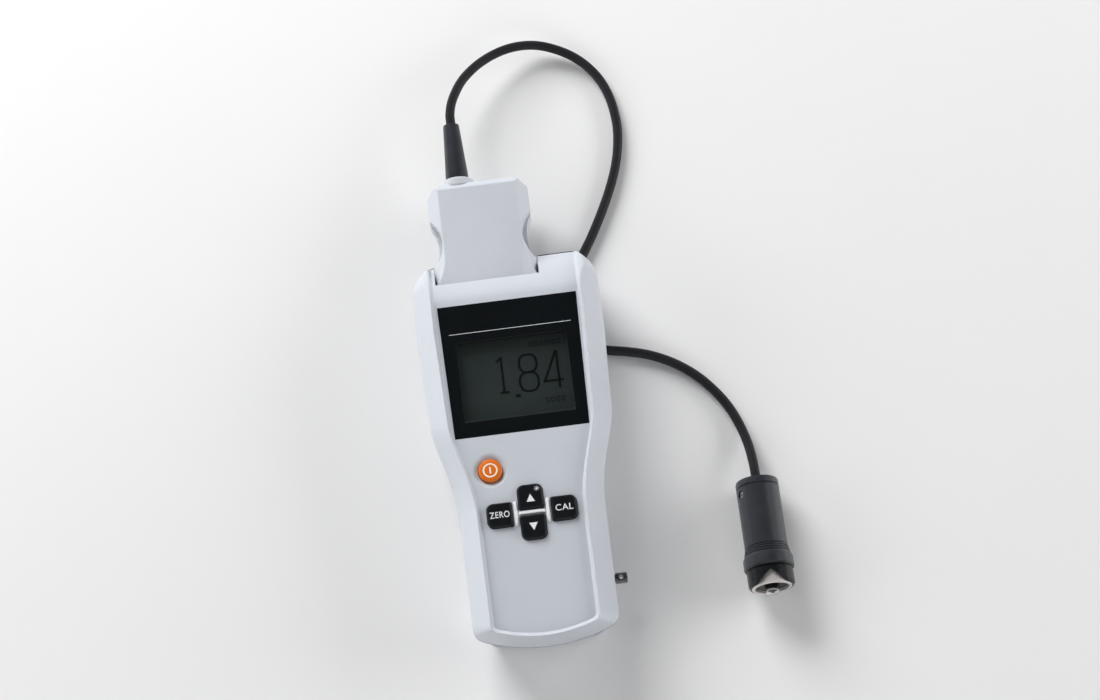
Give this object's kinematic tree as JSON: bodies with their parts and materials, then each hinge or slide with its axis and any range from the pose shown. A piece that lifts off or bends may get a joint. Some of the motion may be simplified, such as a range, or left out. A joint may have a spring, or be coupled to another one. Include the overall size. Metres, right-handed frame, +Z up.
{
  "type": "coating thickness gauge",
  "caption": "Handheld coating thickness gauge with a recessed face, display and keys, and a plug-in module whose cord leads to a sprung probe with a V-notched nose.",
  "frame": {"origin": "middle of the flat back that the gauge rests on", "axes": "+X to the right across the display, +Y along the gauge towards the plug end, +Z up out of the display"},
  "size_m": [0.1326, 0.2539, 0.0301],
  "materials": {
    "shell_white": "fine satin texture",
    "module_white": "fine satin texture",
    "panel_black": "smooth satin print",
    "lens_clear": "clear polished",
    "display_glass": "polished",
    "frame_grey": "satin",
    "board_green": "semi gloss lacquer",
    "key_black": "gloss",
    "key_orange": "satin gloss",
    "rubber_black": "satin",
    "contact_steel": "nickel plated",
    "socket_black": "matt",
    "cell_wrap": "gloss wrap",
    "probe_black": "black anodised",
    "tube_silver": "satin turned",
    "pole_black": "satin",
    "pole_chrome": "polished",
    "coil_copper": "enamelled wire"
  },
  "bodies": {
    "housing": {"front_cover": "shell_white", "rear_cover": "shell_white", "case_seal": "rubber_black", "display_panel": "panel_black", "display_lens": "lens_clear", "lcd_frame": "frame_grey", "lcd_glass": "display_glass", "main_board": "board_green", "key_switches": "socket_black", "battery_cells": "cell_wrap", "battery_springs": "contact_steel", "battery_contacts": "contact_steel", "probe_socket": "socket_black", "strap_post": "contact_steel", "case_screws": "contact_steel"},
    "battery_lid": {"battery_door": "shell_white"},
    "power_button": {"power_key": "key_orange"},
    "up_button": {"up_key": "key_black"},
    "down_button": {"down_key": "key_black"},
    "zero_button": {"zero_key": "key_black"},
    "cal_button": {"cal_key": "key_black"},
    "probe_set": {"plug_front_shell": "module_white", "plug_rear_shell": "module_white", "plug_board": "board_green", "strain_relief": "rubber_black", "probe_cord": "rubber_black", "probe_cap": "probe_black", "probe_barrel": "probe_black", "probe_screw": "contact_steel", "probe_collar": "probe_black", "probe_nose": "probe_black", "probe_tube": "tube_silver", "probe_insert": "pole_black", "sensing_coil": "coil_copper", "tip_spring": "contact_steel"},
    "pole": {"pole_stem": "pole_black", "pole_tip": "pole_chrome"}
  },
  "joints": [
    {"name": "power_press", "type": "slide", "parent": "housing", "child": "power_button", "axis": [0, 0, -1], "range_m": [0, 0.0006], "stiffness_N_per_m": 2000, "springref_m": -0.0004},
    {"name": "up_press", "type": "slide", "parent": "housing", "child": "up_button", "axis": [0, 0, -1], "range_m": [0, 0.0006], "stiffness_N_per_m": 2000, "springref_m": -0.0004},
    {"name": "down_press", "type": "slide", "parent": "housing", "child": "down_button", "axis": [0, 0, -1], "range_m": [0, 0.0006], "stiffness_N_per_m": 2000, "springref_m": -0.0004},
    {"name": "zero_press", "type": "slide", "parent": "housing", "child": "zero_button", "axis": [0, 0, -1], "range_m": [0, 0.0006], "stiffness_N_per_m": 2000, "springref_m": -0.0004},
    {"name": "cal_press", "type": "slide", "parent": "housing", "child": "cal_button", "axis": [0, 0, -1], "range_m": [0, 0.0006], "stiffness_N_per_m": 2000, "springref_m": -0.0004},
    {"name": "door_slide", "type": "slide", "parent": "housing", "child": "battery_lid", "axis": [0, -1, 0], "range_m": [0, 0.058]},
    {"name": "plug_pull", "type": "slide", "parent": "housing", "child": "probe_set", "axis": [0, 1, 0], "range_m": [0, 0.02]},
    {"name": "pole_press", "type": "slide", "parent": "probe_set", "child": "pole", "axis": [0, 0.9993, -0.0381], "range_m": [0, 0.0015], "stiffness_N_per_m": 600, "springref_m": -0.002, "deforming": ["tip_spring"]}
  ]
}
